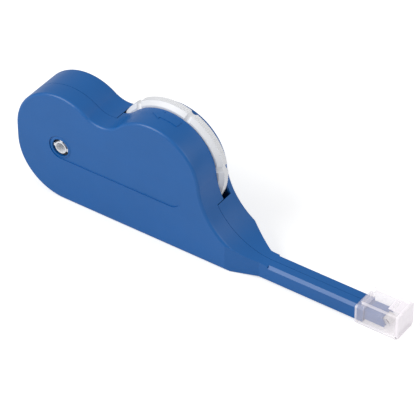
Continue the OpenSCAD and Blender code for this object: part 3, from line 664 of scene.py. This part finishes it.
@dataclass
class TapeWork(SubAssembly):
    """What the sub-assemblies with tape share: winding it on a roll and laying it in a run."""

    roll_facets: int = 96
    # Close to the golden angle, so that neighbouring layers never end alike
    wander_turn: float = 2.4
    most_cuts: int = 6
    edges_per_wave: int = 3
    # How the ripple turns across the tape, in radians for each metre
    ripple_turn: float = 400.0

    def wound_roll(
        self, node: str, name: str, finish: Finish, body: str, layer_mm: float, wander_mm: float
    ) -> None:
        """Winds a roll of tape layer on layer in the space of its CAD solid.

        Args:
            node: The CAD roll.
            name: Name of the new piece.
            finish: The tape's finish.
            body: The CAD body that it rides on.
            layer_mm: How far apart the drawn layers lie.
            wander_mm: How far a layer's edge may lie inside the roll's side.
        """
        middle, inner, outer = axis_and_radii(node)
        low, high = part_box(node)
        layers = max(2, round((outer - inner) / (layer_mm * MM)))
        near, far = [], []
        for layer in range(layers):
            wander = wander_mm * MM * abs(math.sin(layer * self.wander_turn))
            for edge in (layer, layer + 1):
                radius = inner + (outer - inner) * edge / layers
                near.append((radius, low[1] + wander))
                far.append((radius, high[1] - wander))
        piece = lathe(name, middle, near + far[::-1], self.roll_facets)
        self.place(piece, finish, body, node)

    def limp_copy(
        self, node: str, name: str, ripple_mm: float, wave_mm: float
    ) -> bpy.types.Object:
        """Copies a CAD tape into a new piece with close corners and a faint ripple along it.

        Args:
            node: The CAD tape.
            name: Name of the new piece.
            ripple_mm: Height of the ripple.
            wave_mm: Length of one wave.

        Returns:
            The linked object.
        """
        work = bmesh.new()
        work.from_mesh(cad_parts[node].data)
        longest = wave_mm * MM / self.edges_per_wave
        for _ in range(self.most_cuts):
            long_edges = [edge for edge in work.edges if edge.calc_length() > longest]
            if not long_edges:
                break
            bmesh.ops.subdivide_edges(work, edges=long_edges, cuts=1, use_grid_fill=True)
        for corner in work.verts:
            phase = math.tau * corner.co.x / (wave_mm * MM)
            corner.co.z += ripple_mm * MM * math.sin(phase + corner.co.y * self.ripple_turn)
        return creased_piece(name, bpy.data.meshes.new(name), work)


@dataclass
class Casing(SubAssembly):
    """The two blue halves, the nozzle in their neck, and the pins that they hold."""

    edge_mm: float = 0.12

    def build(self) -> None:
        """Dresses the halves, nozzle and pins, and breaks the mould's sharp edges."""
        self.dress(Finish.BLUE_ABS, "near_shell", "far_shell", "nozzle")
        self.soften(self.edge_mm, "near_shell", "far_shell", "nozzle")
        self.dress(Finish.STEEL, "wheel_axle", "idler_pin", "roller_pins", "pawl_pin")


@dataclass
class ThumbDrive(SubAssembly):
    """The thumb wheel with its ratchet and pawl, and the gears and rollers that it turns."""

    edge_mm: float = 0.08

    def build(self) -> None:
        """Dresses the wheel, the ratchet, the gears and the rollers."""
        self.dress(Finish.WHITE_ABS, "thumb_wheel")
        self.dress(Finish.GEAR_ACETAL, "ratchet_ring", "drive_gear", "idler_gear")
        self.dress(Finish.GEAR_ACETAL, "feed_roller", "return_roller")
        # The supply gear's grey is partly painted shade: its face shows dark in the gap round the
        # reel's hub
        self.dress(Finish.GREY_ACETAL, "pawl", "supply_gear")
        self.soften(self.edge_mm, "feed_roller", "return_roller", "pawl")


@dataclass
class Reels(TapeWork):
    """The supply and take-up reels with the tape wound on them, and the felt of the clutch."""

    # Real layers are 0.1 mm thick; they are drawn coarser so that they show
    layer_mm: float = 0.5
    wander_mm: float = 0.12
    # Used tape winds up less evenly than new tape
    used_wander: float = 1.6
    edge_mm: float = 0.15
    felt_round_mm: float = 0.18
    felt_round_steps: int = 3
    felt_facets: int = 72

    def build(self) -> None:
        """Dresses the reels and winds their tape."""
        reels = ("supply_reel", "supply_flange", "takeup_reel", "takeup_flange")
        self.dress(Finish.REEL_STYRENE, *reels)
        self.soften(self.edge_mm, *reels)
        clean, used = Finish.CLEAN_TAPE, Finish.USED_TAPE
        for node, name, finish, body, share in (
            ("supply_roll", "wound_clean_tape", clean, "supply", 1.0),
            ("takeup_roll", "wound_used_tape", used, "wheel", self.used_wander),
        ):
            self.wound_roll(node, name, finish, body, self.layer_mm, self.wander_mm * share)
        self.felt_washer()

    def felt_washer(self) -> None:
        """Makes the clutch's felt as a washer with soft edges."""
        middle, inner, outer = axis_and_radii("clutch_felt")
        low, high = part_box("clutch_felt")
        soft = self.felt_round_mm * MM
        # The middle of each rounded corner, and the angle where its quarter turn starts
        rounds = (
            (inner + soft, low[1] + soft, 180),
            (outer - soft, low[1] + soft, 270),
            (outer - soft, high[1] - soft, 0),
            (inner + soft, high[1] - soft, 90),
        )
        profile = []
        for radius, y, first in rounds:
            for step in range(self.felt_round_steps + 1):
                turn = math.radians(first + 90 * step / self.felt_round_steps)
                profile.append((radius + soft * math.cos(turn), y + soft * math.sin(turn)))
        washer = lathe("felt_washer", middle, profile, self.felt_facets)
        self.place(washer, Finish.FELT, "supply", "clutch_felt")


@dataclass
class TapeRuns(TapeWork):
    """The clean and the used run of tape between the reels and the tip."""

    ripple_mm: float = 0.04
    wave_mm: float = 7.0

    def build(self) -> None:
        """Makes both runs as limp woven tape."""
        for node, name, finish in (
            ("tape_feed", "clean_tape_run", Finish.CLEAN_TAPE),
            ("tape_return", "used_tape_run", Finish.USED_TAPE),
        ):
            run = self.limp_copy(node, name, self.ripple_mm, self.wave_mm)
            self.place(run, finish, "casing", node)


@dataclass
class SprungTip(TapeWork):
    """The tip slider with its head, pad and tape, and the spring behind it."""

    wire_mm: float = 0.4
    turns: int = 9
    steps_per_turn: int = 28
    sides: int = 10
    # The share of the coil at each end whose turns draw together, and how far they do
    end_share: float = 0.25
    end_pull: float = 0.04
    travel_mm: float = 3.0
    pad_edge_mm: float = 0.22
    edge_mm: float = 0.15
    # The tape lies tight over the head, so it has no ripple
    tape_ripple_mm: float = 0.0
    tape_wave_mm: float = 4.0

    def build(self) -> None:
        """Dresses the slider and makes the spring, the pad and the tape."""
        self.dress(Finish.TIP_ACETAL, "tip_slider", "tip_head")
        self.soften(self.edge_mm, "tip_slider", "tip_head")
        ripple_mm, wave_mm = self.tape_ripple_mm, self.tape_wave_mm
        tape = self.limp_copy("tip_tape", "tape_over_tip", ripple_mm, wave_mm)
        self.place(tape, Finish.CLEAN_TAPE, "tip", "tip_tape")
        self.spring()
        self.pad()

    def spring(self) -> None:
        """Coils a round wire with close end turns."""
        low, high = (Vector(corner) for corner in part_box("tip_spring"))
        wire = self.wire_mm * MM / 2
        radius = (high.z - low.z) / 2 - wire
        middle = (low + high) / 2
        total = self.turns * self.steps_per_turn
        corners, faces = [], []
        for step in range(total + 1):
            share = step / total
            turn = math.tau * self.turns * share
            # The end turns lie closer together than the middle ones
            at_end = abs(share - 0.5) > 0.5 - self.end_share
            ease = share - self.end_pull * math.sin(math.tau * share * 2) * at_end
            x = low.x + wire + (high.x - low.x - wire * 2) * ease
            centre = Vector((x, middle.y, middle.z))
            outward = Vector((0, math.cos(turn), math.sin(turn)))
            for side in range(self.sides):
                around = math.tau * side / self.sides
                sideways = Vector((wire * math.sin(around), 0, 0))
                corners.append(centre + outward * (radius + wire * math.cos(around)) + sideways)
        for step in range(total):
            for side in range(self.sides):
                here = step * self.sides + side
                after = step * self.sides + (side + 1) % self.sides
                faces.append((here, after, after + self.sides, here + self.sides))
        faces.append(tuple(range(self.sides)))
        faces.append(tuple(total * self.sides + side for side in range(self.sides)))
        piece = mesh_piece("coiled_tip_spring", corners, faces)
        self.place(piece, Finish.SPRING_STEEL, "casing", "tip_spring")
        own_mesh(piece)

    def pad(self) -> None:
        """Makes the foam pad with pressed-in edges."""
        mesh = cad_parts["tip_pad"].data.copy()
        mesh.name = "foam_tip_pad"
        piece = linked("foam_tip_pad", mesh)
        add_bevel(piece, "pressed_edges", self.pad_edge_mm, segments=3, least_degrees=30)
        self.place(piece, Finish.PAD, "tip", "tip_pad")


@dataclass
class Cap(SubAssembly):
    """The clear cap over the nozzle, with its hinged lid."""

    edge_mm: float = 0.18

    def build(self) -> None:
        """Dresses the cap, its lid and the hinge pin, and rounds the moulded edges."""
        self.dress(Finish.CLEAR_STYRENE, "cap_body")
        self.dress(Finish.MILKY_STYRENE, "cap_lid")
        self.soften(self.edge_mm, "cap_body", "cap_lid")
        self.dress(Finish.STEEL, "cap_hinge_pin")


@dataclass(frozen=True)
class Lamp:
    """One square soft lamp."""

    name: str
    place: Triple
    size: float
    watts: float

    def hang(self, aim: Vector) -> None:
        """Hangs the lamp in its place, facing the given point."""
        data = bpy.data.lights.new(self.name, "AREA")
        data.size = self.size
        data.energy = self.watts
        lamp = linked(self.name, data)
        lamp.location = self.place
        lamp.rotation_euler = (aim - Vector(self.place)).to_track_quat("-Z", "Y").to_euler()


@dataclass
class Studio:
    """Camera, floor, world and lamps."""

    # The camera's place and lens, fitted to the photograph, with its angles in degrees
    azimuth: float = 34.804
    elevation: float = 39.035
    roll: float = -0.272
    lens_mm: float = 226.29
    sensor_mm: float = 36.0
    distance: float = 1.3608
    aim: Triple = (0.03685, -0.01285, 0.03565)
    nearest: float = 0.05
    furthest: float = 20.0
    floor_half: float = 3.0
    # A hair of air keeps the floor off the casing's lowest face
    floor_gap: float = 0.0001
    floor_colour: str = "#E6E6E6"
    floor_roughness: float = 0.9
    # What the camera alone sees, on top of the lit floor and in place of the world
    floor_glow: float = 0.5
    backdrop: float = 1.0
    world: float = 0.42
    lamps: tuple[Lamp, ...] = (
        Lamp("key", (-0.74, -1.04, 1.06), 1.0, 16.5),
        Lamp("side", (1.2, 0.4, 1.0), 0.9, 7.0),
    )

    def camera(self) -> None:
        """Places the camera at the photograph's angle."""
        a, e, t = (math.radians(v) for v in (self.azimuth, self.elevation, self.roll))
        back = Vector((math.sin(a) * math.cos(e), -math.cos(a) * math.cos(e), math.sin(e)))
        level = Vector((math.cos(a), math.sin(a), 0))
        upright = back.cross(level)
        right = level * math.cos(t) + upright * math.sin(t)
        up = upright * math.cos(t) - level * math.sin(t)
        data = bpy.data.cameras.new("camera")
        data.lens = self.lens_mm
        data.sensor_width = self.sensor_mm
        data.clip_start = self.nearest
        data.clip_end = self.furthest
        camera = linked("camera", data)
        turn = Matrix((right, up, back)).transposed().to_4x4()
        camera.matrix_world = Matrix.Translation(Vector(self.aim) + back * self.distance) @ turn
        bpy.context.scene.camera = camera

    def floor(self) -> None:
        """Lays a pale floor that looks white to the camera and keeps the tool's shadow."""
        mesh = bpy.data.meshes.new("floor")
        half = self.floor_half
        low = CAD_BOX[0][2] - self.floor_gap
        corners = [(-half, -half, low), (half, -half, low), (half, half, low), (-half, half, low)]
        mesh.from_pydata(corners, [], [(0, 1, 2, 3)])
        floor = linked("floor", mesh)
        graph = ShaderGraph("painted_floor")
        graph.set(Roughness=self.floor_roughness, Base_Color=linear_rgba(self.floor_colour))
        seen = graph.add("ShaderNodeLightPath").outputs["Is Camera Ray"]
        grey = (self.floor_glow, self.floor_glow, self.floor_glow, 1.0)
        glow = graph.add("ShaderNodeEmission", {"Strength": seen, "Color": grey})
        parts = {0: graph.shader.outputs["BSDF"], 1: glow.outputs["Emission"]}
        both = graph.add("ShaderNodeAddShader", parts)
        graph.join(both.outputs["Shader"], graph.output.inputs["Surface"])
        mesh.materials.append(graph.material)

    def lights(self) -> None:
        """Sets a pale world, white to the camera, and hangs the lamps."""
        world = bpy.data.worlds.new("world")
        world.use_nodes = True
        bpy.context.scene.world = world
        nodes, links = world.node_tree.nodes, world.node_tree.links
        back = nodes["Background"]
        rays = nodes.new("ShaderNodeLightPath")
        level = nodes.new("ShaderNodeMapRange")
        level.inputs["To Min"].default_value = self.world
        level.inputs["To Max"].default_value = self.backdrop
        links.new(rays.outputs["Is Camera Ray"], level.inputs["Value"])
        links.new(level.outputs["Result"], back.inputs["Strength"])
        back.inputs["Color"].default_value = (1, 1, 1, 1)
        for lamp in self.lamps:
            lamp.hang(Vector(self.aim))

    def build(self) -> None:
        """Sets the whole studio up."""
        self.camera()
        self.floor()
        self.lights()
        bpy.context.scene.view_settings.view_transform = "Standard"


def main() -> None:
    """Builds the studio, then each sub-assembly in order."""
    logging.basicConfig(level=logging.INFO, format="%(name)s: %(message)s")
    Studio().build()
    wardrobe = Wardrobe()
    for kind in (Casing, ThumbDrive, Reels, TapeRuns, SprungTip, Cap):
        kind(wardrobe).build()
        LOG.info("%s is built", kind.__name__)


if __name__ == "__main__":
    main()
